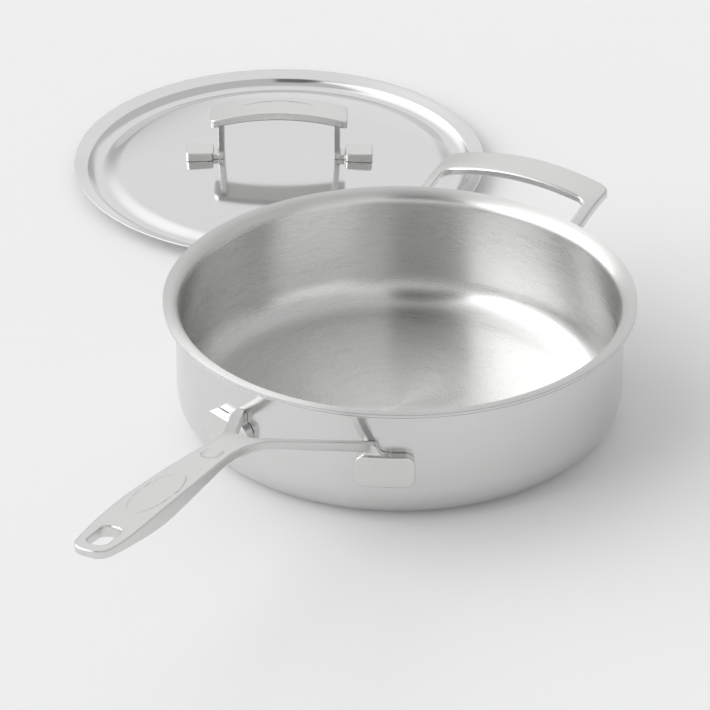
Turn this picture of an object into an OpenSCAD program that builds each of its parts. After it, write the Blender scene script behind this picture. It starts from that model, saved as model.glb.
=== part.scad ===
// Clad steel saute pan with a welded Y-shaped long handle, a helper loop on the
// far side, and its flanged lid lying handle-up on the surface beside it.
// Millimetres, +Z up. The origin is the centre of the pan's underside; the
// surface both pieces rest on is z = 0.

/* [Pan] */
// inside diameter at the straight wall
pan_d = 280; // [264:2:296]
// height from the surface to the top of the lip
pan_h = 83.2; // [78:0.4:96]
// inside radius between the floor and the wall
corner_r = 20; // [14:0.5:24]
// inside radius of the pouring lip's bend
lip_r = 8.2; // [7.4:0.1:9.4]
// flat run of the lip past its bend
lip_run = 2.7; // [1.5:0.1:4]

/* [Plies] */
// steel cooking surface
inner_t = 0.4; // [0.3:0.05:0.6]
// aluminium alloy bonding ply, one each side of the core
bond_t = 0.3; // [0.25:0.05:0.4]
// pure aluminium core
core_t = 1.5; // [1.2:0.1:2]
// magnetic steel outer ply
outer_t = 0.5; // [0.4:0.05:0.7]

/* [Long handle] */
// turn of the handle away from -Y, towards -X, degrees
handle_az = 24.8; // [20:0.2:40]
// reach of the handle from the wall to its tip
handle_reach = 272.8; // [230:0.4:300]
// rise of the handle's top from the wall to its tip
handle_rise = 64.9; // [48:0.5:72]
// scale of the handle's width and thickness
handle_girth = 1; // [0.85:0.05:1.15]
// drop from the lip's top to the top of the handle's pads
pad_drop = 31.2; // [29:0.2:32.6]
// pad width round the wall
pad_w = 37; // [34:0.5:40]
// pad height
pad_h = 21.6; // [19:0.2:22.4]
// how far a pad stands off the wall
pad_t = 6.9; // [6:0.1:8]

/* [Helper handle] */
// half the loop's outside width
loop_w = 59.2; // [54:0.2:62]
// reach of the loop's far edge from the wall
loop_reach = 63.4; // [58:0.2:68]
// depth of the two grip plates
grip_depth = 26; // [22:0.5:28]
// width of each side rail
rail_w = 7.6; // [6.6:0.2:9]
// thickness of both grip plates
grip_t = 5.4; // [4.6:0.1:6]
// radius of the arch that both grip plates follow
arch_r = 173; // [150:1:220]

/* [Lid] */
// clearance between the lid's step and the pan's wall
lid_fit = 4; // [3:0.1:5]
// width of the sloping flange that lies on the lip
flange_w = 9.2; // [8.4:0.1:10]
// rise of the flange from its crease to its edge
flange_rise = 3.1; // [2.4:0.1:4]
// sheet thickness
lid_t = 0.9; // [0.8:0.05:1.2]
// height of the domed middle over the surface
dome_h = 11.3; // [10:0.1:13]
// radius of the dome at its middle; it curves more towards its edge
dome_r = 1500; // [1300:20:2200]
// height of the dome's edge over the valley round it
disc_rise = 3.5; // [2.8:0.1:4.5]
// depth of the wall inside the flange
step_h = 4.7; // [4:0.1:5.4]
// gap between the pan's lip and the lid as it lies beside it
lid_gap = 50.8; // [40:0.1:60]
// direction in which the lid lies, from +Y towards -X, degrees
lid_az = 14.35; // [12:0.05:22]

/* [Lid handle] */
// length of the grip plate
lid_grip_l = 96.5; // [90:0.5:104]
// height of the grip plate's crown over the dome's crown
lid_grip_h = 39.5; // [36:0.1:44]
// distance between the outsides of the legs
leg_span = 86; // [80:0.2:87]
// leg thickness
leg_t = 4.2; // [3.6:0.1:5]
// leg depth under the plate, front to back
leg_d = 18.4; // [16:0.2:20]
// leg and neck depth at the dome
neck_d = 10.8; // [9:0.2:13]
// foot length past each leg
foot_l = 23; // [20:0.2:26]
// foot depth, front to back
foot_d = 16.8; // [15:0.2:20]
// foot height
foot_t = 6.3; // [5.4:0.1:7.2]

/* [Hidden] */
$fn = 96;
r_in = pan_d / 2;
wall_t = inner_t + 2 * bond_t + core_t + outer_t;
r_out = r_in + wall_t;
ply_1 = inner_t;
ply_2 = ply_1 + bond_t;
ply_3 = ply_2 + core_t;
ply_4 = ply_3 + bond_t;
floor_z = wall_t;
lip_z = pan_h - lip_r;
lip_c = r_in + lip_r;
rim_r = lip_c + lip_run;
weld = 0.1;
pad_top = pan_h - pad_drop;
root_z = pad_top + 7.6;
loop_az = 180 + handle_az;

satin = [0.78, 0.78, 0.77];
polished = [0.86, 0.86, 0.86];
brushed = [0.72, 0.71, 0.69];
alloy = [0.66, 0.67, 0.69];
cast = [0.80, 0.80, 0.79];

// Long handle, station by station out from the wall:
// distance, half width, height of the top over its root, thickness.
rows = [
  [-16, 51.0, -4.0, 6.9],
  [-7, 48.0, 0.0, 6.9],
  [7, 43.8, 6.1, 6.9],
  [24, 37.0, 13.8, 6.7],
  [41, 29.6, 21.3, 6.5],
  [60, 21.4, 29.9, 6.4],
  [75, 15.1, 36.2, 6.3],
  [86, 11.7, 39.7, 6.3],
  [100, 9.8, 43.4, 6.3],
  [122, 10.5, 48.6, 6.6],
  [154, 12.2, 54.1, 8.9],
  [185, 13.5, 58.7, 11.1],
  [198, 13.9, 60.5, 11.8],
  [214, 14.15, 62.3, 11.3],
  [234, 14.0, 64.1, 9.0],
  [250, 13.2, 65.4, 7.1],
  [263, 12.0, 66.9, 6.2],
  [272.8, 11.6, 68.0, 5.5]
];
row_end = rows[len(rows) - 1][0];
reach_k = handle_reach / row_end;
rise_k = handle_rise / 64.9;

// One column of the stations at distance x, by cubic pieces through them.
function slope(c, i) =
  let (a = max(i - 1, 0), b = min(i + 1, len(rows) - 1))
  (rows[b][c] - rows[a][c]) / (rows[b][0] - rows[a][0]);
function cubic(z0, z1, m0, m1, h, s) =
  z0 * (2 * pow(s, 3) - 3 * s * s + 1) + m0 * h * (pow(s, 3) - 2 * s * s + s)
  + z1 * (3 * s * s - 2 * pow(s, 3)) + m1 * h * (pow(s, 3) - s * s);
function at(c, x) =
  let (i = max([for (k = [0:len(rows) - 2]) if (x >= rows[k][0] || k == 0) k]),
    h = rows[i + 1][0] - rows[i][0])
  cubic(rows[i][c], rows[i + 1][c], slope(c, i), slope(c, i + 1), h,
    (x - rows[i][0]) / h);
function handle_v(x) = handle_girth * at(1, x);
function handle_z(x) = root_z + rise_k * at(2, x);
function handle_t(x) = handle_girth * at(3, x);
function hx(x) = r_out + x * reach_k;

// Half outline; the end is a squarish curve of the third power.
end_l = 15.8;
end_x = row_end - end_l;
handle_side = concat(
  [for (x = [-16:4:end_x - 2]) [hx(x), handle_v(x)]],
  [for (a = [0:7.5:90]) let (x = end_x + end_l * pow(sin(a), 2 / 3))
    [hx(x), handle_v(x) * pow(cos(a), 2 / 3)]]);

module handle_outline() {
  n = len(handle_side) - 1;
  polygon(concat(handle_side,
    [for (i = [n - 1:-1:0]) [handle_side[i][0], -handle_side[i][1]]]));
}

// Gap between the arms: straight sides that close on a round crotch.
crotch_r = 8.75;
gap_a = atan(0.44 * handle_girth / reach_k);
gap_tip = hx(89.2);
gap_c = gap_tip - crotch_r / sin(gap_a);
module arm_gap() {
  x0 = r_out - 30;
  x1 = gap_c + crotch_r * sin(gap_a);
  translate([gap_c, 0]) circle(crotch_r);
  polygon([
    [x0, (gap_tip - x0) * tan(gap_a)], [x1, crotch_r * cos(gap_a)],
    [x1, -crotch_r * cos(gap_a)], [x0, -(gap_tip - x0) * tan(gap_a)]
  ]);
}

// Strip of the handle's side view from x0 to x1. Its top lies over the handle's
// top by up_c less up_k thicknesses, its bottom under it by down_c and down_k.
module handle_strip(x0, x1, half, up_c, up_k, down_c, down_k) {
  n = ceil((x1 - x0) / 4);
  xs = [for (i = [0:n]) x0 + (x1 - x0) * i / n];
  translate([0, half, 0])
    rotate([90, 0, 0])
      linear_extrude(2 * half)
        polygon(concat(
          [for (x = xs) [hx(x), handle_z(x) + up_c - up_k * handle_t(x)]],
          [for (i = [n:-1:0])
            [hx(xs[i]), handle_z(xs[i]) - down_c - down_k * handle_t(xs[i])]]));
}

module ellipse(a, b) {
  polygon([for (t = [0:7.5:352.5]) [a * cos(t), b * sin(t)]]);
}

module rounded_rect(l, w, r) {
  square([l - 2 * r, w], center = true);
  square([l, w - 2 * r], center = true);
  for (sx = [-1, 1], sy = [-1, 1])
    translate([sx * (l / 2 - r), sy * (w / 2 - r)]) circle(r);
}

// Pad round the wall: w along it, h tall, its top at z_top, t off the wall.
module wall_pad(w, h, r, z_top, t) {
  intersection() {
    translate([r_out - 12, 0, z_top - h / 2])
      rotate([90, 0, 90])
        linear_extrude(t + 24) rounded_rect(w, h, r);
    cylinder(h = pan_h, r = r_out + t);
  }
}

// Neck that carries an arm down to its pad; past the arm it sweeps out in a
// quarter curve onto the pad's top.
module wall_neck(side, x_in, x_out, z_arm, z_pad, t) {
  z_low = z_pad - 0.5;
  sweep = z_arm - z_low - 0.6;
  intersection() {
    translate([r_out - 12, 0, 0])
      rotate([90, 0, 90])
        linear_extrude(t + 24)
          polygon(concat(
            [[side * x_in, z_pad - 8], [side * x_in, z_arm], [side * x_out, z_arm]],
            [for (a = [0:15:90])
              [side * (x_out + sweep * (1 - cos(a))), z_low + sweep * (1 - sin(a))]],
            [[side * (x_out + sweep), z_pad - 8]]));
    cylinder(h = pan_h, r = r_out + t);
  }
}

// Both pads and necks of a handle whose arms meet the wall between two widths.
module wall_feet(v_in, v_out, w, h, z_top, z_arm, t) {
  turn = asin(v_out / r_out) + 1.9;
  x_out = -r_out * sin(1.9);
  x_in = -r_out * sin(turn - asin(v_in / r_out));
  for (s = [-1, 1]) rotate([0, 0, s * turn]) {
    wall_pad(w, h, 6, z_top, t);
    wall_neck(s, x_in, x_out, z_arm, z_top, t - 1.4);
  }
}

// The pan's wall and a weld line round it, to cut a handle's feet and arms.
module wall_cut() {
  translate([0, 0, -1]) cylinder(h = pan_h + 60, r = r_out + weld);
}

// Slab bent over an arch that runs across it: arch along Y, from x0 to x1.
module arched_slab(x0, x1, crown, t, r) {
  translate([x0, 0, 0])
    rotate([90, 0, 90])
      linear_extrude(x1 - x0)
        intersection() {
          translate([0, crown - r])
            difference() {
              circle(r);
              circle(r - t);
            }
          translate([-70, crown - 30]) square([140, 40]);
        }
}

// Region between two depths below the pan's inside surface, as a half section.
module ply_section(d0, d1) {
  // floor
  translate([0, floor_z - d1]) square([r_in - corner_r, d1 - d0]);
  // corner between floor and wall
  translate([r_in - corner_r, floor_z + corner_r])
    intersection() {
      difference() {
        circle(corner_r + d1);
        circle(corner_r + d0);
      }
      translate([0, -corner_r - wall_t - 1]) square(corner_r + wall_t + 1);
    }
  // wall
  translate([r_in + d0, floor_z + corner_r])
    square([d1 - d0, lip_z - floor_z - corner_r]);
  // lip bend
  translate([lip_c, lip_z])
    intersection() {
      difference() {
        circle(lip_r - d0);
        circle(lip_r - d1);
      }
      translate([-lip_r - 1, 0]) square(lip_r + 1);
    }
  // lip end
  translate([lip_c, lip_z + lip_r - d1]) square([lip_run, d1 - d0]);
}

module pan_inner_ply() {
  color(brushed) rotate_extrude() ply_section(0, ply_1);
}

module pan_upper_bond() {
  color(alloy) rotate_extrude() ply_section(ply_1, ply_2);
}

module pan_core() {
  color(alloy) rotate_extrude() ply_section(ply_2, ply_3);
}

module pan_lower_bond() {
  color(alloy) rotate_extrude() ply_section(ply_3, ply_4);
}

module pan_outer_ply() {
  color(satin) rotate_extrude() ply_section(ply_4, wall_t);
}

module grip() {
  difference() {
    intersection() {
      handle_strip(-16, row_end, 60, 0, 0, 0, 1);
      translate([0, 0, -10])
        linear_extrude(pan_h + 160)
          difference() {
            handle_outline();
            arm_gap();
          }
    }
    // hanging hole near the tip
    translate([hx(251.8), 0, -10])
      linear_extrude(pan_h + 160) rounded_rect(24.6, 12.6 * handle_girth, 5.2);
    // blank oval on the grip
    intersection() {
      handle_strip(150, 226, 20, 5, 0, 0.3, 0);
      translate([hx(188.5), 0, 0])
        linear_extrude(300) ellipse(31.2, 9.9 * handle_girth);
    }
    // thumb dimple where the grip meets the arms
    intersection() {
      handle_strip(104, 134, 20, 5, 0, 1, 0);
      translate([hx(119), 0, 0])
        linear_extrude(300) ellipse(9.2, 6.3 * handle_girth);
    }
    // channel under the grip
    intersection() {
      handle_strip(130, 230, 12, 4, 1, 6, 1);
      translate([hx(178), 0, -10])
        linear_extrude(pan_h + 160) rounded_rect(92 * reach_k, 14 * handle_girth, 6);
    }
  }
}

module long_handle() {
  color(cast) rotate([0, 0, -90 - handle_az]) difference() {
    union() {
      grip();
      wall_feet((gap_tip - r_out + 6) * tan(gap_a), handle_v(-6), pad_w, pad_h,
        pad_top, root_z - 0.6, pad_t);
    }
    wall_cut();
  }
}

// Helper loop: two rails that rise from the wall and an arched plate across them.
loop_far = r_out + loop_reach;
loop_near = loop_far - grip_depth;
loop_crown = pan_h + 3.6;
rail_end = loop_crown - loop_w * loop_w / (2 * arch_r);
rail_drop = 8.2;
rail_root = rail_end - rail_drop;
rail_in = loop_w - rail_w;
rail_x = r_out - 13;
// a rail climbs from the wall and levels off towards the plate
function rail_z(s) = rail_end - rail_drop * pow(1 - s, 1.25);

module loop_plan(x0) {
  difference() {
    translate([(x0 - 12 + loop_far) / 2, 0])
      rounded_rect(loop_far - x0 + 12, 2 * loop_w, 7);
    translate([(x0 - 40 + loop_near) / 2, 0])
      rounded_rect(loop_near - x0 + 40, 2 * rail_in, 6);
    translate([x0 - 20, -loop_w - 1]) square([20, 2 * loop_w + 2]);
  }
}

module rails() {
  run = loop_near + 6 - rail_x;
  for (s = [-1, 1])
    translate([0, s * (rail_in + 5) + 5, 0])
      rotate([90, 0, 0])
        linear_extrude(10)
          polygon(concat(
            [[rail_x - 4, rail_root - grip_t - 1], [rail_x - 4, rail_root - 0.6]],
            [for (k = [0:0.1:1]) [rail_x + run * k, rail_z(k)]],
            [for (k = [1:-0.1:0]) [rail_x + run * k, rail_z(k) - grip_t]]));
}

module helper_handle() {
  color(cast) rotate([0, 0, -90 - loop_az]) difference() {
    union() {
      // grip plate
      intersection() {
        arched_slab(r_in, loop_far + 10, loop_crown, grip_t, arch_r);
        linear_extrude(pan_h + 40) loop_plan(loop_near - 8);
      }
      // side rails
      intersection() {
        linear_extrude(pan_h + 40) loop_plan(rail_x - 4);
        rails();
      }
      wall_feet(rail_in, loop_w, 30, pad_h, rail_root - 7.6, rail_root - 0.4, pad_t);
    }
    wall_cut();
  }
}

// Lid section: radius and height of the top face, from the middle to the edge.
crease_r = r_in - lid_fit;
r_lid = crease_r + flange_w;
valley_z = lid_t;
crease_z = valley_z + step_h;
edge_z = crease_z + flange_rise;
disc_r = crease_r - 16.8;
step_r = crease_r - 10.2;
wall_r = crease_r - 0.7;
wall_z = crease_z - 0.75;
bend_r = crease_r + 0.4;
disc_z = valley_z + disc_rise;
// a wide sphere that falls away faster by the sixth power of the radius
dome_k = (dome_h - disc_r * disc_r / (2 * dome_r) - disc_z) / pow(disc_r, 6);
function dome_z(r) = dome_h - r * r / (2 * dome_r) - dome_k * pow(r, 6);
function lid_run(r0, z0, m0, r1, z1, m1, n) =
  [for (i = [0:n - 1]) let (s = i / n)
    [r0 + (r1 - r0) * s, cubic(z0, z1, m0, m1, r1 - r0, s)]];
lid_top = concat(
  [for (i = [0:23]) let (r = disc_r * i / 24) [r, dome_z(r)]],
  lid_run(disc_r, disc_z, -0.45, step_r, valley_z, 0, 10),
  lid_run(step_r, valley_z, 0, wall_r, wall_z, 0.95, 12),
  lid_run(wall_r, wall_z, 0.95, bend_r, crease_z, 0.34, 4),
  lid_run(bend_r, crease_z, 0.34, r_lid - 0.2, edge_z, 0.34, 3),
  [[r_lid - 0.2, edge_z]]);
function unit(v) = v / norm(v);
function lid_normal(i) =
  let (d = unit(lid_top[min(i + 1, len(lid_top) - 1)] - lid_top[max(i - 1, 0)]))
  [-d[1], d[0]];
lid_under = [for (i = [0:len(lid_top) - 1])
  let (p = lid_top[i] - lid_t * lid_normal(i)) [max(p[0], 0), max(p[1], 0)]];

module at_lid() {
  rotate([0, 0, lid_az])
    translate([0, rim_r + lid_gap + r_lid, 0])
      rotate([0, 0, -lid_az]) children();
}

module lid_shell() {
  color(polished) at_lid()
    rotate_extrude()
      polygon(concat(lid_top, [for (i = [len(lid_top) - 1:-1:0]) lid_under[i]]));
}

crown_z = dome_h + lid_grip_h;
leg_out = leg_span / 2;
foot_top = dome_z(leg_out + foot_l / 2) + foot_t;

// Lid handle: an arched plate on two legs that turn out into feet, cut to the
// dome with a weld line between them. Long axis along X.
module lid_handle() {
  color(cast) at_lid() rotate([0, 0, 90]) difference() {
    union() {
      // grip plate
      intersection() {
        arched_slab(-20, 20, crown_z, grip_t, arch_r);
        linear_extrude(crown_z + 10) rounded_rect(grip_depth, lid_grip_l, 4);
      }
      for (m = [0, 1]) mirror([0, m, 0]) {
        // leg, narrower towards the dome
        intersection() {
          translate([0, leg_out, 0]) rotate([90, 0, 0]) linear_extrude(leg_t)
            polygon([[-neck_d / 2, 0], [neck_d / 2, 0], [neck_d / 2, foot_top],
              [leg_d / 2, crown_z], [-leg_d / 2, crown_z], [-neck_d / 2, foot_top]]);
          translate([-20, 0, 0]) rotate([90, 0, 90]) linear_extrude(40)
            translate([0, crown_z - arch_r]) circle(arch_r - grip_t / 2);
        }
        // foot
        translate([0, leg_out + 3.8 + (foot_l - 3.8) / 2, foot_top - 14])
          linear_extrude(14) rounded_rect(foot_d, foot_l - 3.8, 3);
        // low neck between the leg and the foot
        translate([-neck_d / 2, leg_out - 1, foot_top - 14])
          cube([neck_d, 7, 13.4]);
      }
    }
    // the dome's top face and everything under it
    rotate_extrude()
      polygon(concat([[0, -20], [96, -20], [96, dome_z(96) + weld]],
        [for (r = [90:-6:0]) [r, dome_z(r) + weld]]));
    // blank oval on the plate
    intersection() {
      arched_slab(-20, 20, crown_z + 5, 5.3, arch_r + 5);
      linear_extrude(crown_z + 10) ellipse(7.4, 28);
    }
  }
}

pan_inner_ply();
pan_upper_bond();
pan_core();
pan_lower_bond();
pan_outer_ply();
long_handle();
helper_handle();
lid_shell();
lid_handle();
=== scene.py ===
import bpy
import math
import numpy as np
from mathutils import Matrix, Vector


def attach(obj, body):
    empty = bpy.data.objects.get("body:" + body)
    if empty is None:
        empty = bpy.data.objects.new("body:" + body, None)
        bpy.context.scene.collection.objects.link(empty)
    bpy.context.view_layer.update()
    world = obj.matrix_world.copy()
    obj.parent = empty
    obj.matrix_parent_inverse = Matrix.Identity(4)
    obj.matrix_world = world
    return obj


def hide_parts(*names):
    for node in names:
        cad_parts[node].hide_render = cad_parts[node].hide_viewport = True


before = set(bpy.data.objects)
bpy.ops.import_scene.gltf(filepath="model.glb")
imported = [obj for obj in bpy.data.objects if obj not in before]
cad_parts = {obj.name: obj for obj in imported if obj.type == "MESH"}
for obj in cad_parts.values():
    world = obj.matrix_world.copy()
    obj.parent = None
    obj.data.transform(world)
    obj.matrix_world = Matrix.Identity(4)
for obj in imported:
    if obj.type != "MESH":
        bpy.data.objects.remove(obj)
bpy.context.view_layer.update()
print("frame loaded:", len(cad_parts), "nodes")

view = bpy.context.scene
home = view.collection


def toMesh(name, points, faces, normals=None):
    # points in millimetres, faces as an array of corner numbers; -1 ends a triangle
    mesh = bpy.data.meshes.new(name)
    quads = faces[faces[:, 3] >= 0]
    tris = faces[faces[:, 3] < 0][:, :3]
    loops = np.concatenate([quads.ravel(), tris.ravel()]).astype(np.int32)
    sizes = np.concatenate([np.full(len(quads), 4), np.full(len(tris), 3)])
    starts = np.concatenate([[0], np.cumsum(sizes)[:-1]]).astype(np.int32)
    mesh.vertices.add(len(points))
    mesh.vertices.foreach_set("co", (points / 1000).astype(np.float32).ravel())
    mesh.loops.add(len(loops))
    mesh.loops.foreach_set("vertex_index", loops)
    mesh.polygons.add(len(sizes))
    mesh.polygons.foreach_set("loop_start", starts)
    mesh.update(calc_edges=True)
    mesh.validate()
    mesh.shade_smooth()
    if normals is not None:
        mesh.normals_split_custom_set_from_vertices(normals.tolist())
    piece = bpy.data.objects.new(name, mesh)
    home.objects.link(piece)
    return piece


def arc(x, z, r, start, end, count):
    # points on a circle in the section plane, angles in degrees
    a = np.radians(np.linspace(start, end, count))
    return np.stack([x + r * np.cos(a), z + r * np.sin(a)], 1)


def line(x0, z0, x1, z1, count):
    # evenly spaced points between two ends
    t = np.linspace(0, 1, count)[:, None]
    return np.array([[x0, z0]]) * (1 - t) + np.array([[x1, z1]]) * t


def turned(name, section, centre, count):
    # A section of (radius, height) points is carried round a vertical axis. It starts and
    # ends on the axis, where each ring shrinks to one point. Doubled points are left out.
    keep = np.concatenate([[True], np.linalg.norm(np.diff(section, axis=0), axis=1) > 1e-5])
    section = section[keep]
    inner = section[1:-1]
    a = np.arange(count) * 2 * math.pi / count
    x = centre[0] + inner[:, 0, None] * np.cos(a)
    y = centre[1] + inner[:, 0, None] * np.sin(a)
    z = np.repeat(inner[:, 1, None], count, 1)
    points = np.stack([x, y, z], -1).reshape(-1, 3)
    poles = np.array([[centre[0], centre[1], section[0, 1]], [centre[0], centre[1], section[-1, 1]]])
    firstPole, lastPole = len(points), len(points) + 1
    lastRing = len(points) - count
    ring, j = np.meshgrid(np.arange(len(inner) - 1) * count, np.arange(count), indexing="ij")
    k = (j + 1) % count
    quads = np.stack([ring + j, ring + count + j, ring + count + k, ring + k], -1).reshape(-1, 4)
    j = np.arange(count)
    k = (j + 1) % count
    noCorner = np.full(count, -1)
    top = np.stack([np.full(count, firstPole), j, k, noCorner], 1)
    low = np.stack([np.full(count, lastPole), lastRing + k, lastRing + j, noCorner], 1)
    return toMesh(name, np.concatenate([points, poles]), np.concatenate([quads, top, low]))


def softMin(a, b, k):
    # the lesser of two distances, with a fillet about k wide where they meet
    h = np.maximum(k - np.abs(a - b), 0) / k
    return np.minimum(a, b) - h * h * k / 4


def slab(plan, depth, r):
    # where a plan distance and a depth distance meet at a right angle, the edge is rounded by r
    a, b = plan + r, depth + r
    return np.minimum(np.maximum(a, b), 0) + np.hypot(np.maximum(a, 0), np.maximum(b, 0)) - r


def boxDistance(x, y, halfX, halfY, r):
    # distance from a rectangle with corners of radius r, negative inside it
    return slab(np.abs(x) - halfX, np.abs(y) - halfY, r)


def skin(field, low, high, step):
    # Surface net: each grid cell that the zero level crosses gets one point, the mean of the
    # crossings on its edges; four cells round a crossed edge make a face. Points then slide
    # down the field's gradient onto the zero level, and the gradient is their normal.
    axes = [np.arange(a, b + step, step) for a, b in zip(low, high)]
    nx, ny, nz = (len(a) for a in axes)
    value = field(axes[0][:, None, None], axes[1][None, :, None], axes[2][None, None, :]).astype(np.float32)
    value = np.broadcast_to(value, (nx, ny, nz))
    inside = value < 0
    total = np.zeros((nx - 1, ny - 1, nz - 1, 3), np.float32)
    count = np.zeros((nx - 1, ny - 1, nz - 1), np.float32)
    edges = []
    for axis in range(3):
        cut = [slice(None)] * 3
        cut[axis] = slice(0, -1)
        nxt = [slice(None)] * 3
        nxt[axis] = slice(1, None)
        a, b = value[tuple(cut)], value[tuple(nxt)]
        crossed = inside[tuple(cut)] != inside[tuple(nxt)]
        at = np.argwhere(crossed)
        t = a[crossed] / (a[crossed] - b[crossed])
        where = at.astype(np.float32)
        where[:, axis] += t
        others = [k for k in range(3) if k != axis]
        ring = []
        for d0, d1 in ((0, 0), (-1, 0), (-1, -1), (0, -1)):
            cell = at.copy()
            cell[:, others[0]] += d0
            cell[:, others[1]] += d1
            ring.append(cell)
            good = np.all((cell >= 0) & (cell < [nx - 1, ny - 1, nz - 1]), axis=1)
            c = cell[good]
            np.add.at(total, (c[:, 0], c[:, 1], c[:, 2]), where[good])
            np.add.at(count, (c[:, 0], c[:, 1], c[:, 2]), 1)
        ring = np.stack(ring, 1)
        flip = inside[tuple(cut)][crossed] != (axis == 1)
        ring[flip] = ring[flip][:, ::-1]
        good = np.all((ring >= 0) & (ring < [nx - 1, ny - 1, nz - 1]), axis=(1, 2))
        edges.append(ring[good])
    used = count > 0
    number = np.full(used.shape, -1, np.int64)
    number[used] = np.arange(used.sum())
    points = total[used] / count[used][:, None] * step + np.array([a[0] for a in axes])
    ring = np.concatenate(edges)
    faces = number[ring[..., 0], ring[..., 1], ring[..., 2]]

    def slope(p):
        reach = 0.05  # to each side, mm
        g = np.stack([field(*(p + reach * d).T) - field(*(p - reach * d).T) for d in np.eye(3)], 1)
        g = g / (2 * reach)
        return g, np.maximum(np.linalg.norm(g, axis=1, keepdims=True), 1e-6)

    slides = 3
    for _ in range(slides):
        g, size = slope(points)
        points = points - g / size * np.clip(field(*points.T)[:, None] / size, -step / 2, step / 2)
    g, size = slope(points)
    return points, faces, g / size


def castPiece(name, field, grid, turn, centre=(0, 0)):
    # The skin of a field in its own (outward, across, up) frame, turned to its place. The grid
    # is its low corner, its high corner and its step.
    points, faces, normals = skin(field, *grid)
    a, b, c = (points[faces[:, k]] for k in (0, 1, 2))
    if np.einsum("ij,ij->", np.cross(b - a, c - a), normals[faces[:, 0]]) < 0:
        faces = faces[:, ::-1]
    s, k = math.sin(math.radians(turn)), math.cos(math.radians(turn))
    spin = np.array([[k, -s, 0], [s, k, 0], [0, 0, 1]])
    points = points @ spin.T + [centre[0], centre[1], 0]
    piece = toMesh(name, points, faces, normals @ spin.T)
    print(name, len(points), "points")
    return piece


pan = {
    "insideR": 140, "height": 83.2, "cornerR": 20, "lipR": 8.2, "lipRun": 2.7,
    "plies": [0, 0.4, 0.7, 2.2, 2.5, 3.0],  # depths of the plies' faces under the cooking surface
    "edge": 0.08, "edgeCount": 4, "steps": 400,
    "counts": (40, 28, 16, 28, 5),  # points along floor, corner, wall, lip and its flat end
}


def panCurve(depth):
    # One face of a ply, a fixed depth under the cooking surface: floor line, quarter circle,
    # wall line, quarter circle of the lip and its flat end.
    p = pan
    floorCount, cornerCount, wallCount, lipCount, endCount = p["counts"]
    floorZ, lipZ, lipC = p["plies"][-1], p["height"] - p["lipR"], p["insideR"] + p["lipR"]
    cornerX, cornerZ = p["insideR"] - p["cornerR"], floorZ + p["cornerR"]
    wallX = p["insideR"] + depth
    endX, endZ = lipC + p["lipRun"] - p["edge"], lipZ + p["lipR"] - depth
    return np.concatenate([
        line(0, floorZ - depth, cornerX, floorZ - depth, floorCount),
        arc(cornerX, cornerZ, p["cornerR"] + depth, -90, 0, cornerCount)[1:],
        line(wallX, cornerZ, wallX, lipZ, wallCount)[1:],
        arc(lipC, lipZ, p["lipR"] - depth, 180, 90, lipCount)[1:],
        line(lipC, endZ, endX, endZ, endCount)[1:],
    ])


def plySection(top, low):
    # one ply: its upper face outwards, the cut edge with rounded arrises, its lower face back
    p = pan
    e, count = p["edge"], p["edgeCount"]
    edgeX = p["insideR"] + p["lipR"] + p["lipRun"] - e
    z0, z1 = p["height"] - top, p["height"] - low
    end = np.concatenate([arc(edgeX, z0 - e, e, 90, 0, count)[1:], arc(edgeX, z1 + e, e, 0, -90, count)])
    return np.concatenate([panCurve(top), end, panCurve(low)[::-1][1:]])


plyNodes = ["pan_inner_ply", "pan_upper_bond", "pan_core", "pan_lower_bond", "pan_outer_ply"]
plyNames = ["cookingSurface", "upperBond", "coreEdge", "lowerBond", "outerShell"]
plies = {}
for i, (node, name) in enumerate(zip(plyNodes, plyNames)):
    plies[name] = turned(name, plySection(pan["plies"][i], pan["plies"][i + 1]), (0, 0), pan["steps"])
    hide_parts(node)
    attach(plies[name], "pan")
print("pan made")


handleLine = 24.8  # degrees that the line through both handles is turned clockwise from the y axis

feet = {
    "wallR": 143.0, "weld": 0.1, "middleR": 146, "sink": 4, "fillet": 1.6,
    "height": 21.6, "corner": 6, "thick": 6.9, "edge": 1.0,
    "neckThick": 5.5, "neckEdge": 0.7, "neckDown": 8, "curl": 7.4, "turnPast": 1.9,
}


def wallFeet(u, v, z, armIn, armOut, width, top, armZ):
    # Pads and necks in wall coordinates: arc length from the pad's middle line, height and
    # radius. Each neck runs down from the arm, between its two sides, and spreads outwards
    # into the pad by a hollow quarter circle. Both sink into the wall, and are cut by it later.
    f = feet
    rho = np.hypot(u, v)
    past = math.radians(f["turnPast"])
    x = (np.arctan2(np.abs(v), u) - (math.asin(armOut / f["wallR"]) + past)) * f["middleR"]
    inner = f["wallR"] + f["weld"] - f["sink"]
    depth = np.maximum(inner - rho, rho - f["wallR"] - f["thick"])
    half = f["height"] / 2
    pad = slab(boxDistance(x, z - top + half, width / 2, half, f["corner"]), depth, f["edge"])
    xOut = -f["middleR"] * past
    xIn = xOut - f["middleR"] * (math.asin(armOut / f["wallR"]) - math.asin(armIn / f["wallR"]))
    curlX = xOut + f["curl"]
    shape = np.maximum(np.maximum(xIn - x, z - armZ), np.maximum(top - f["neckDown"] - z, x - curlX))
    shape = np.maximum(shape, f["curl"] - np.hypot(x - curlX, z - armZ))
    depth = np.maximum(inner - rho, rho - f["wallR"] - f["neckThick"])
    neck = slab(shape, depth, f["neckEdge"])
    return softMin(pad, neck, f["fillet"])


def cutByWall(shape, u, v):
    # what is left outside the wall and its weld line
    return np.maximum(shape, feet["wallR"] + feet["weld"] - np.hypot(u, v))


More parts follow.
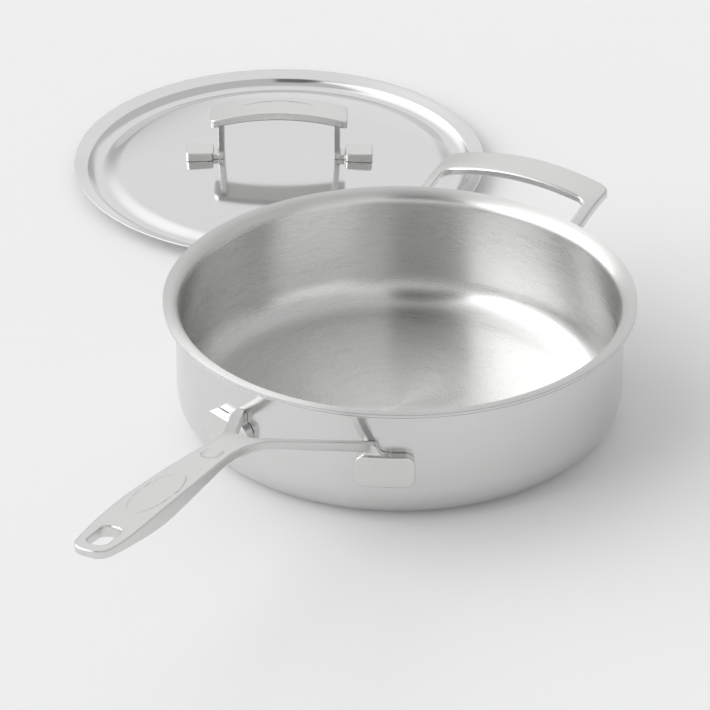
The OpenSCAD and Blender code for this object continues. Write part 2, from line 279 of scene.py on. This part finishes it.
longHandle = {
    "turn": -90 - handleLine, "root": 59.6,
    # distance from the wall, half width, height over the root, thickness
    "rows": np.array([
        [-16, 51.0, -4.0, 6.9], [-7, 48.0, 0.0, 6.9], [7, 43.8, 6.1, 6.9], [24, 37.0, 13.8, 6.7],
        [41, 29.6, 21.3, 6.5], [60, 21.4, 29.9, 6.4], [75, 15.1, 36.2, 6.3], [86, 11.7, 39.7, 6.3],
        [100, 9.8, 43.4, 6.3], [122, 10.5, 48.6, 6.6], [154, 12.2, 54.1, 8.9], [185, 13.5, 58.7, 11.1],
        [198, 13.9, 60.5, 11.8], [214, 14.15, 62.3, 11.3], [234, 14.0, 64.1, 9.0], [250, 13.2, 65.4, 7.1],
        [263, 12.0, 66.9, 6.2], [272.8, 11.6, 68.0, 5.5],
    ]),
    # the end curve's run, then the wedge between the arms: its tip's radius, slope and place
    "endRun": 15.8, "crotch": 8.75, "gapSlope": 0.44, "gapTip": 89.2,
    "edge": 1.3, "lowEdge": 1.8, "fillet": 1.4,
    "hole": {"at": 251.8, "halfL": 12.3, "halfW": 6.3, "corner": 5.2},
    "oval": {"at": 188.5, "halfL": 31.2, "halfW": 9.9, "depth": 0.45, "soft": 0.8},
    "dimple": {"at": 119, "halfL": 9.2, "halfW": 6.4, "depth": 1.4, "power": 0.8},
    # hollow under the grip; past rim inside its outline its roof drops by fall over soft
    "channel": {"at": 178, "halfL": 46, "halfW": 7, "corner": 6, "depth": 4,
                "rim": 1.5, "fall": 6, "soft": 3},
    "feet": {"armIn": 39.7, "armOut": 47.7, "width": 37, "top": 52.0, "armZ": 59.0},
    "grid": ((118, -76, 29), (417, 76, 129), 1.0),
}


def cubic(s, h, z0, m0, z1, m1):
    # the cubic from height z0 to z1 with slopes m0 and m1, where s goes from 0 to 1 over h
    return (z0 * (2 * s**3 - 3 * s**2 + 1) + m0 * h * (s**3 - 2 * s**2 + s)
            + z1 * (3 * s**2 - 2 * s**3) + m1 * h * (s**3 - s**2))


def alongRows(rows, column, x):
    # cubic pieces through the stations, with the slope of each taken from its neighbours
    xs, ys = rows[:, 0], rows[:, column]
    m = np.empty(len(xs))
    m[1:-1] = (ys[2:] - ys[:-2]) / (xs[2:] - xs[:-2])
    m[0], m[-1] = (ys[1] - ys[0]) / (xs[1] - xs[0]), (ys[-1] - ys[-2]) / (xs[-1] - xs[-2])
    x = np.clip(x, xs[0], xs[-1])
    i = np.clip(np.searchsorted(xs, x, side="right") - 1, 0, len(xs) - 2)
    h = xs[i + 1] - xs[i]
    return cubic((x - xs[i]) / h, h, ys[i], m[i], ys[i + 1], m[i + 1])


def slopeAlong(rows, column, x):
    # the change over the millimetre round x
    return alongRows(rows, column, x + 0.5) - alongRows(rows, column, x - 0.5)


def easeIn(d, width):
    # 1 well inside a shape (d negative), 0 outside, smooth over the width
    t = np.clip(0.5 - d / width, 0, 1)
    return t * t * (3 - 2 * t)


def longHandlePlan(x, v):
    # A squarish end curve and the stations' half width, less a wedge with a round tip and the
    # hanging slot.
    h = longHandle
    halfWidth, slope = alongRows(h["rows"], 1, x), slopeAlong(h["rows"], 1, x)
    s = np.maximum(x - h["rows"][-1, 0] + h["endRun"], 0) / h["endRun"]
    q = np.abs(v) / halfWidth
    g = s**3 + q**3 - 1
    gu, gv = 3 * s**2 / h["endRun"] - 3 * q**3 * slope / halfWidth, 3 * q**2 / halfWidth
    plan = g / np.sqrt(gu**2 + gv**2 + 1e-5)
    a = math.atan(h["gapSlope"])
    gx = h["gapTip"] - h["crotch"] / math.sin(a) - x
    gy = np.abs(v)
    wedge = np.where(gx * math.cos(a) + gy * math.sin(a) < 0, np.hypot(gx, gy),
                     gy * math.cos(a) - gx * math.sin(a)) - h["crotch"]
    slot = h["hole"]
    hole = boxDistance(x - slot["at"], v, slot["halfL"], slot["halfW"], slot["corner"])
    return np.maximum(plan, np.maximum(-wedge, -hole))


def longHandleField(u, v, z):
    # The plan, and in side view the stations' top, less the oval and the thumb dimple, and
    # their thickness, less the channel below. Edges are rounded, then pads and necks join on
    # and the wall cuts all.
    h = longHandle
    x = u - feet["wallR"]
    plan = longHandlePlan(x, v)
    top = h["root"] + alongRows(h["rows"], 2, x)
    thick = alongRows(h["rows"], 3, x)
    lean = np.sqrt(1 + slopeAlong(h["rows"], 2, x)**2)
    o, d, c = h["oval"], h["dimple"], h["channel"]
    oval = (np.hypot((x - o["at"]) / o["halfL"], v / o["halfW"]) - 1) * o["halfW"]
    dimple = np.hypot((x - d["at"]) / d["halfL"], v / d["halfW"])
    cut = o["depth"] * easeIn(oval, o["soft"]) + d["depth"] * np.clip(1 - dimple**2, 0, 1) ** d["power"]
    up, down = (z - top + cut) / lean, (top - thick - z) / lean
    channel = boxDistance(x - c["at"], v, c["halfL"], c["halfW"], c["corner"])
    roof = (top - thick + c["depth"] - z) / lean - c["fall"] * easeIn(-channel - c["rim"], c["soft"])
    down = np.maximum(down, roof)
    upper = z > top - thick / 2
    body = np.where(upper, slab(plan, up, h["edge"]), slab(plan, down, h["lowEdge"]))
    whole = softMin(body, wallFeet(u, v, z, **h["feet"]), h["fillet"])
    return cutByWall(whole, u, v)


handlePiece = castPiece("longHandle", longHandleField, longHandle["grid"], longHandle["turn"])
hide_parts("long_handle")
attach(handlePiece, "pan")


helper = {
    "turn": 90 - handleLine, "farU": 206.4, "nearU": 180.4, "halfReach": 75, "halfW": 59.2,
    "railW": 7.6, "outerCorner": 7, "innerCorner": 6, "crown": 86.8, "archR": 173, "thick": 5.4,
    "edge": 1.4, "fillet": 1.4, "dropFrom": 132, "dropTo": 188, "drop": 8.2, "dropPower": 1.25,
    "feet": {"armIn": 51.6, "armOut": 59.2, "width": 30, "top": 60.6, "armZ": 67.8},
    "grid": ((110, -84, 37), (208, 84, 89), 1.0),
}


def helperField(u, v, z):
    # Plan: a rounded loop open towards the wall. Its top is an arch across, which sinks
    # towards the wall by a power curve; the thickness is even and the edges are rounded.
    h = helper
    reach = h["halfReach"]
    outer = boxDistance(u - (h["farU"] - reach), v, reach, h["halfW"], h["outerCorner"])
    inner = boxDistance(u - (h["nearU"] - reach), v, reach, h["halfW"] - h["railW"], h["innerCorner"])
    plan = np.maximum(outer, -inner)
    s = np.clip((u - h["dropFrom"]) / (h["dropTo"] - h["dropFrom"]), 0, 1)
    top = h["crown"] - v**2 / (2 * h["archR"]) - h["drop"] * (1 - s) ** h["dropPower"]
    lean = np.sqrt(1 + (v / h["archR"]) ** 2)
    depth = np.maximum(z - top, top - h["thick"] - z) / lean
    body = slab(plan, depth, h["edge"])
    whole = softMin(body, wallFeet(u, v, z, **h["feet"]), h["fillet"])
    return cutByWall(whole, u, v)


helperPiece = castPiece("helperHandle", helperField, helper["grid"], helper["turn"])
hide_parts("helper_handle")
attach(helperPiece, "pan")
print("handles made")


lid = {
    # the bend into the flange starts wallBend inside and under the crease, and ends pastBend past it
    "centre": (-85.98, 336.07), "creaseR": 136, "flangeW": 9.2, "flangeRise": 3.1, "sheet": 0.9,
    "crown": 11.3, "domeR": 1500, "discR": 119.2, "discZ": 4.4, "shoulder": 112, "stepFoot": 126.4,
    "wallSlope": 0.95, "wallBend": (0.7, 0.75), "pastBend": 0.4, "stepH": 4.7, "footSlope": -0.18,
    "beadReach": 0.2, "beadSquash": 0.44, "beadCount": 9, "steps": 340,
    "counts": (60, 36, 30, 9, 8),  # points along dome, shoulder, wall, bend and flange
}


def domeHeight(r):
    # a wide sphere that falls away faster by the sixth power of the radius, to reach discZ
    # at discR
    c = lid
    fall = c["crown"] - c["discR"] ** 2 / (2 * c["domeR"]) - c["discZ"]
    return c["crown"] - r**2 / (2 * c["domeR"]) - fall * (r / c["discR"]) ** 6


def cubicRun(x0, z0, m0, x1, z1, m1, count):
    # a cubic from one point and slope to another
    s = np.linspace(0, 1, count)
    h = x1 - x0
    return np.stack([x0 + h * s, cubic(s, h, z0, m0, z1, m1)], 1)


def lidTop():
    # Top face from the middle out: dome, round shoulder down to the valley, a wall that
    # steepens to the crease, and the sloping flange.
    c, t = lid, lid["sheet"]
    domeCount, shoulderCount, wallCount, bendCount, flangeCount = c["counts"]
    r = np.linspace(0, c["shoulder"], domeCount)
    shoulderZ = domeHeight(c["shoulder"])
    lean = domeHeight(c["shoulder"] + 0.5) - domeHeight(c["shoulder"] - 0.5)
    creaseZ = t + c["stepH"]
    rise = c["flangeRise"] / c["flangeW"]
    wallX, wallZ = c["creaseR"] - c["wallBend"][0], creaseZ - c["wallBend"][1]
    bendX = c["creaseR"] + c["pastBend"]
    edgeX, edgeZ = c["creaseR"] + c["flangeW"] - c["beadReach"], creaseZ + c["flangeRise"]
    return np.concatenate([
        np.stack([r, domeHeight(r)], 1),
        cubicRun(c["shoulder"], shoulderZ, lean, c["stepFoot"], t, c["footSlope"], shoulderCount)[1:],
        cubicRun(c["stepFoot"], t, 0, wallX, wallZ, c["wallSlope"], wallCount)[1:],
        cubicRun(wallX, wallZ, c["wallSlope"], bendX, creaseZ, rise, bendCount)[1:],
        cubicRun(bendX, creaseZ, rise, edgeX, edgeZ, rise, flangeCount)[1:],
    ])


def lidSection():
    # the top face, a flattened bead round the edge, and the top face offset by the sheet
    top = lidTop()
    run = np.gradient(top, axis=0)
    run /= np.linalg.norm(run, axis=1, keepdims=True)
    out = np.stack([-run[:, 1], run[:, 0]], 1)
    low = top - out * lid["sheet"]
    low[:, 1] = np.maximum(low[:, 1], 0)  # the lid stands on the floor
    low[0, 0] = 0
    mid, t = (top[-1] + low[-1]) / 2, lid["sheet"] / 2
    a = math.degrees(math.atan2(out[-1, 1], out[-1, 0]))
    bead = arc(mid[0], mid[1], t, a, a - 180, lid["beadCount"])[1:-1]
    bead = np.where(bead[:, :1] > mid[0], mid + (bead - mid) * [lid["beadSquash"], 1.0], bead)
    return np.concatenate([top, bead, low[::-1]])


lidPiece = turned("lidShell", lidSection(), lid["centre"], lid["steps"])
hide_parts("lid_shell")
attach(lidPiece, "lid")


lidHandle = {
    "crown": 50.8, "archR": 173, "thick": 5.4, "halfL": 48.25, "halfW": 13, "corner": 4, "edge": 0.6,
    "legIn": 38.8, "legOut": 43, "legHalf": 9.2, "legNarrow": 5.4, "legCorner": 0.35, "legFillet": 1.6,
    "neckAt": 44.9, "neckHalfL": 3.5, "neckHalfW": 5.4, "neckCorner": 0.8, "neckTop": 14.4, "neckEdge": 0.9,
    "footIn": 46.8, "footOut": 66, "footHalf": 8.4, "footCorner": 2.4, "footTop": 16.5, "footEdge": 0.6,
    "footFillet": 0.9, "fillet": 1.2, "weld": 0.1,
    "oval": {"halfL": 28, "halfW": 7.4, "depth": 0.45, "soft": 0.6},
    "grid": ((-67.3, -14.2, 6.5), (67.3, 14.2, 52.3), 0.6),
}


def lidHandleField(x, y, z):
    # An arched plate, legs, low necks and feet, joined with small fillets and cut by the dome.
    h = lidHandle
    o = h["oval"]
    oval = (np.hypot(x / o["halfL"], y / o["halfW"]) - 1) * o["halfW"]
    rho = np.hypot(x, z - (h["crown"] - h["archR"]))
    depth = np.maximum(rho - h["archR"] + o["depth"] * easeIn(oval, o["soft"]), h["archR"] - h["thick"] - rho)
    plate = slab(boxDistance(x, y, h["halfL"], h["halfW"], h["corner"]), depth, h["edge"])
    ax = np.abs(x)
    climb = np.clip((z - h["footTop"]) / (h["crown"] - h["footTop"]), 0, 1)
    narrow = (h["legHalf"] - h["legNarrow"]) * (1 - climb)
    legAt, legHalfL = (h["legIn"] + h["legOut"]) / 2, (h["legOut"] - h["legIn"]) / 2
    leg = boxDistance(ax - legAt, np.abs(y) + narrow, legHalfL, h["legHalf"], h["legCorner"])
    leg = np.maximum(leg, rho - h["archR"] + h["thick"] / 2)
    neck = boxDistance(ax - h["neckAt"], y, h["neckHalfL"], h["neckHalfW"], h["neckCorner"])
    neck = slab(neck, z - h["neckTop"], h["neckEdge"])
    footAt, footHalfL = (h["footIn"] + h["footOut"]) / 2, (h["footOut"] - h["footIn"]) / 2
    foot = boxDistance(ax - footAt, y, footHalfL, h["footHalf"], h["footCorner"])
    foot = slab(foot, z - h["footTop"], h["footEdge"])
    low = softMin(neck, foot, h["footFillet"])
    whole = softMin(softMin(plate, leg, h["legFillet"]), low, h["fillet"])
    return np.maximum(whole, domeHeight(np.hypot(x, y)) + h["weld"] - z)


lidGrip = castPiece("lidHandle", lidHandleField, lidHandle["grid"], 0, lid["centre"])
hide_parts("lid_handle")
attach(lidGrip, "lid")
print("lid made")


class Num:
    # wraps a number socket; an expression on it adds the Math nodes
    def __init__(self, graph, socket):
        self.graph, self.socket = graph, socket

    def __add__(self, other):
        return self.graph.math("ADD", self, other)

    def __sub__(self, other):
        return self.graph.math("SUBTRACT", self, other)

    def __rsub__(self, other):
        return self.graph.math("SUBTRACT", other, self)

    def __mul__(self, other):
        return self.graph.math("MULTIPLY", self, other)

    def __truediv__(self, other):
        return self.graph.math("DIVIDE", self, other)

    __radd__, __rmul__ = __add__, __mul__


class Graph:
    # the node tree of a material or of the world
    def __init__(self, owner):
        owner.use_nodes = True
        self.owner, self.tree = owner, owner.node_tree

    def node(self, kind, settings=None, inputs=()):
        # a node of any type: settings first, then values or links for its sockets
        made = self.tree.nodes.new(kind)
        for key, value in (settings or {}).items():
            setattr(made, key, value)
        for key, value in inputs.items() if isinstance(inputs, dict) else enumerate(inputs):
            self.feed(made.inputs[key], value)
        return made

    def feed(self, socket, value):
        value = value.socket if isinstance(value, Num) else value
        if isinstance(value, bpy.types.NodeSocket):
            self.tree.links.new(value, socket)
        else:
            socket.default_value = value

    def num(self, node, output=0):
        return Num(self, node.outputs[output])

    def math(self, kind, *values):
        return self.num(self.node("ShaderNodeMath", {"operation": kind}, values))

    def ramp(self, value, start, end, low=0.0, high=1.0):
        # a smooth climb from low at start to high at end
        return self.num(self.node("ShaderNodeMapRange", {"interpolation_type": "SMOOTHSTEP"},
                                  {"Value": value, "From Min": start, "From Max": end,
                                   "To Min": low, "To Max": high}))

    def parts(self, vector):
        split = self.node("ShaderNodeSeparateXYZ", None, [vector])
        return [self.num(split, k) for k in range(3)]

    def vector(self, x, y, z):
        return self.node("ShaderNodeCombineXYZ", None, [x, y, z]).outputs[0]

    def noise(self, vector, scale, detail=2.0, rough=0.5):
        return self.num(self.node("ShaderNodeTexNoise", None,
                                  {"Vector": vector, "Scale": scale, "Detail": detail, "Roughness": rough}))


def steel(name, settings):
    # a metal with its constants on the shader's own sockets
    graph = Graph(bpy.data.materials.new(name))
    shader = graph.tree.nodes["Principled BSDF"]
    shader.inputs["Metallic"].default_value = 1
    for socket, value in settings.items():
        shader.inputs[socket].default_value = value
    return graph, shader


def place(graph):
    # the object's own coordinates in millimetres
    spot = graph.node("ShaderNodeTexCoord").outputs["Object"]
    scaled = graph.node("ShaderNodeVectorMath", {"operation": "SCALE"}, {"Vector": spot, "Scale": 1000.0})
    return scaled.outputs[0]


def rounds(graph, centre):
    # radius, height and the two parts of the direction out from an upright axis
    x, y, z = graph.parts(place(graph))
    x, y = x - centre[0], y - centre[1]
    r = graph.math("SQRT", x * x + y * y)
    safe = graph.math("MAXIMUM", r, 0.01)  # no division by nothing on the axis
    return r, z, x / safe, y / safe


def metalFinish(graph, shader, look, fine, roughness, tone):
    # the roughness, the tone with its tint, and a small bump from the fine noise
    graph.feed(shader.inputs["Roughness"], roughness)
    mixed = graph.node("ShaderNodeCombineColor", None, [tone, tone * look["green"], tone * look["blue"]])
    graph.feed(shader.inputs["Base Color"], mixed.outputs[0])
    bump = graph.node("ShaderNodeBump", None, {"Strength": look["bump"], "Distance": 0.001, "Height": fine})
    graph.feed(shader.inputs["Normal"], bump.outputs[0])


def turnedGrain(graph, shader, centre, look):
    # Lathe brushing: noise that is fine along the section and long round the axis. It moves
    # the normal a little and the roughness and colour a little more. Where a look has a lip
    # band, a run of radius, the steel grows rougher over it by lipRough.
    r, z, c, s = rounds(graph, centre)
    along = r + z
    length, wideLength = look["length"], 1.6
    fine = graph.vector(along * look["fine"], c * length, s * length)
    fine = graph.noise(fine, 1.0, detail=3.0, rough=0.6)
    wide = graph.vector(along * look["wide"], c * wideLength, s * wideLength)
    wide = graph.noise(wide, 1.0)
    base = look["roughness"]
    if "lipBand" in look:
        base = base + graph.ramp(r, *look["lipBand"], 0, look["lipRough"])
    roughness = base + (fine - 0.5) * look["roughVary"] + (wide - 0.5) * look["roughWide"]
    tone = look["tone"] + (fine - 0.5) * look["toneVary"] + (wide - 0.5) * look["toneWide"]
    metalFinish(graph, shader, look, fine, roughness, tone)


insideLook = {
    "fine": 2.1, "wide": 0.11, "length": 6.0, "roughness": 0.28, "roughVary": 0.10, "roughWide": 0.06,
    "tone": 0.72, "toneVary": 0.16, "toneWide": 0.05, "green": 1.0, "blue": 0.99, "bump": 0.016,
    "lipBand": (140.5, 144), "lipRough": 0.18,
}
insideSteel, insideShader = steel("insideSteel", {"Anisotropic": 0.9, "Anisotropic Rotation": 0.25})
turnedGrain(insideSteel, insideShader, (0, 0), insideLook)

outsideLook = {
    "fine": 1.3, "wide": 0.09, "length": 4.0, "roughness": 0.2, "roughVary": 0.06, "roughWide": 0.03,
    "tone": 0.7, "toneVary": 0.03, "toneWide": 0.03, "green": 1.0, "blue": 0.995, "bump": 0.02,
}
outsideSteel, outsideShader = steel("outsideSteel", {"Anisotropic": 0.6, "Anisotropic Rotation": 0.25})
turnedGrain(outsideSteel, outsideShader, (0, 0), outsideLook)

lidLook = {
    "fine": 1.1, "wide": 0.07, "length": 3.0, "roughness": 0.1, "roughVary": 0.03, "roughWide": 0.02,
    "tone": 0.72, "toneVary": 0.01, "toneWide": 0.02, "green": 1.0, "blue": 0.998, "bump": 0.004,
}
lidSteel, lidShader = steel("lidSteel", {})
turnedGrain(lidSteel, lidShader, lid["centre"], lidLook)

edgeLook = {
    "fine": 3.0, "wide": 0.3, "length": 30.0, "roughness": 0.4, "roughVary": 0.1, "roughWide": 0.05,
    "tone": 0.71, "toneVary": 0.12, "toneWide": 0.05, "green": 1.0, "blue": 1.0, "bump": 0.05,
}
edgeAlloy, edgeShader = steel("edgeAlloy", {})
turnedGrain(edgeAlloy, edgeShader, (0, 0), edgeLook)

# the two bonding plies show as fine darker lines in the cut edge
bondAlloy, bondShader = steel("bondAlloy", {})
turnedGrain(bondAlloy, bondShader, (0, 0), dict(edgeLook, tone=0.42))


castLook = {
    "stretch": (0.12, 1.4, 1.4), "cloud": 0.06, "roughness": 0.3, "roughVary": 0.08, "roughCloud": 0.06,
    "tone": 0.71, "toneVary": 0.05, "toneCloud": 0.03, "green": 0.997, "blue": 0.988, "bump": 0.03,
}


def castSteel(name, turn):
    # Belt-finished casting: fine streaks along the part, with faint clouds under them. The
    # turn is the streaks' bearing in degrees.
    graph, shader = steel(name, {})
    look, spot = castLook, place(graph)
    streaks = graph.node("ShaderNodeMapping", None,
                         {"Vector": spot, "Rotation": (0, 0, math.radians(-turn)), "Scale": look["stretch"]})
    fine = graph.noise(streaks.outputs[0], 1.0, detail=3.0, rough=0.6)
    cloud = graph.noise(spot, look["cloud"])
    roughness = look["roughness"] + (fine - 0.5) * look["roughVary"] + (cloud - 0.5) * look["roughCloud"]
    tone = look["tone"] + (fine - 0.5) * look["toneVary"] + (cloud - 0.5) * look["toneCloud"]
    metalFinish(graph, shader, look, fine, roughness, tone)
    return graph.owner


handleSteel = castSteel("handleSteel", longHandle["turn"])
helperSteel = castSteel("helperSteel", helper["turn"])
lidHandleSteel = castSteel("lidHandleSteel", 0)
print("materials made")

for piece, material, slot in (
    (plies["cookingSurface"], insideSteel.owner, "inner_steel"),
    (plies["upperBond"], bondAlloy.owner, "bond_alloy"),
    (plies["coreEdge"], edgeAlloy.owner, "core_alloy"),
    (plies["lowerBond"], bondAlloy.owner, "bond_alloy"),
    (plies["outerShell"], outsideSteel.owner, "outer_steel"),
    (handlePiece, handleSteel, "handle_steel"),
    (helperPiece, helperSteel, "helper_steel"),
    (lidPiece, lidSteel.owner, "lid_steel"),
    (lidGrip, lidHandleSteel, "lid_handle_steel"),
):
    piece.data.materials.append(material)


floor = {"reach": 9000, "colour": (0.83, 0.83, 0.83, 1), "roughness": 0.7, "specular": 0.2, "lift": 0.03}


def makeFloor():
    # Matt and pale. Camera, glossy and transmission rays get a small lift on top of the lit
    # colour, so the ground is near white and still takes the shadow.
    x, y = np.meshgrid([-floor["reach"], floor["reach"]], [-floor["reach"], floor["reach"]], indexing="ij")
    points = np.stack([x.ravel(), y.ravel(), np.zeros(4)], 1)
    piece = toMesh("floorSheet", points, np.array([[0, 2, 3, 1]]))
    graph = Graph(bpy.data.materials.new("paleFloor"))
    shader = graph.tree.nodes["Principled BSDF"]
    shader.inputs["Base Color"].default_value = floor["colour"]
    shader.inputs["Roughness"].default_value = floor["roughness"]
    shader.inputs["Specular IOR Level"].default_value = floor["specular"]
    path = graph.node("ShaderNodeLightPath")
    seen = graph.math("MAXIMUM", path.outputs["Is Camera Ray"], path.outputs["Is Glossy Ray"])
    seen = graph.math("MAXIMUM", seen, path.outputs["Is Transmission Ray"])
    graph.feed(shader.inputs["Emission Strength"], seen * floor["lift"])
    shader.inputs["Emission Color"].default_value = (1, 1, 1, 1)
    piece.data.materials.append(graph.owner)
    return piece


makeFloor()

# The studio, seen from the pan: a room that gets paler over the climb from its horizon, with
# soft panels, the two largest to the left. Each panel has its side, bearing, rise, half width,
# half height, soft edge and level, and is a dark one where its level is under the room's.
# Bearings are degrees towards the right, from straight behind the object for the back panels
# and from straight towards the camera for the front ones.
studio = {
    "room": 0.62, "horizon": 0.5, "climb": (2, 26),
    "panels": [
        ("back", -6, 47, 41, 28, 8, 0.93),
        ("back", 4, 10, 11, 14, 6, 0.93),
        ("back", -44, 42, 14, 25, 9, 1.3),
        ("back", -92.5, 37, 47.5, 30, 5, 1.4),
        ("back", -92.5, 26, 47.5, 19, 5, 2.8),
        ("front", 0, 15, 50, 13, 6, 0.9),
        ("front", 15, 32, 14, 12, 5, 0.85),
        ("front", -17, 55, 23, 25, 3, 0.18),
        ("front", -8, 53, 9, 8, 4, 0.1),
    ],
}


def makeStudio():
    graph = Graph(bpy.data.worlds.new("studio"))
    view.world = graph.owner
    x, y, z = graph.parts(graph.node("ShaderNodeTexCoord").outputs["Generated"])
    degrees = 180 / math.pi
    rise = graph.math("ARCSINE", z) * degrees
    bearings = {
        "back": graph.math("ARCTAN2", x, y) * degrees,
        "front": graph.math("ARCTAN2", x, y * -1) * degrees,
    }
    level = graph.ramp(rise, *studio["climb"], studio["horizon"], studio["room"])
    for side, bearing, panelRise, halfWidth, halfHeight, soft, brightness in studio["panels"]:
        across = graph.math("ABSOLUTE", bearings[side] - bearing) - halfWidth
        upright = graph.math("ABSOLUTE", rise - panelRise) - halfHeight
        mask = graph.ramp(across, soft, -soft) * graph.ramp(upright, soft, -soft)
        level = level * (1 - mask) + mask * brightness
    ground = graph.node("ShaderNodeBackground", None, {"Color": (1, 1, 1, 1), "Strength": level})
    graph.feed(graph.tree.nodes["World Output"].inputs["Surface"], ground.outputs[0])


makeStudio()

# millimetres and radians, but where a name says metres or pixels of the square photo
shot = {
    "focalPixels": 4472.195, "photoPixels": 710, "sensor": 36, "clipMetres": 50,
    "back": 2493.741, "height": 1453.251, "yaw": -0.01146, "pitch": 0.51576,
}


def makeCamera():
    # stands back from the origin and looks ahead, turned to the right by yaw and down by pitch
    s = shot
    ahead = Vector((math.sin(s["yaw"]) * math.cos(s["pitch"]), math.cos(s["yaw"]) * math.cos(s["pitch"]),
                    -math.sin(s["pitch"])))
    right = Vector((math.cos(s["yaw"]), -math.sin(s["yaw"]), 0))
    up = right.cross(ahead)
    camera = bpy.data.cameras.new("camera")
    camera.sensor_width = s["sensor"]
    camera.lens = s["focalPixels"] / s["photoPixels"] * s["sensor"]
    camera.clip_end = s["clipMetres"]
    holder = bpy.data.objects.new("camera", camera)
    home.objects.link(holder)
    turn = Matrix((right, up, -ahead)).transposed().to_4x4()
    turn.translation = Vector((0, -s["back"] / 1000, s["height"] / 1000))
    holder.matrix_world = turn
    view.camera = holder


makeCamera()
view.view_settings.view_transform = "Standard"
print("stage made")
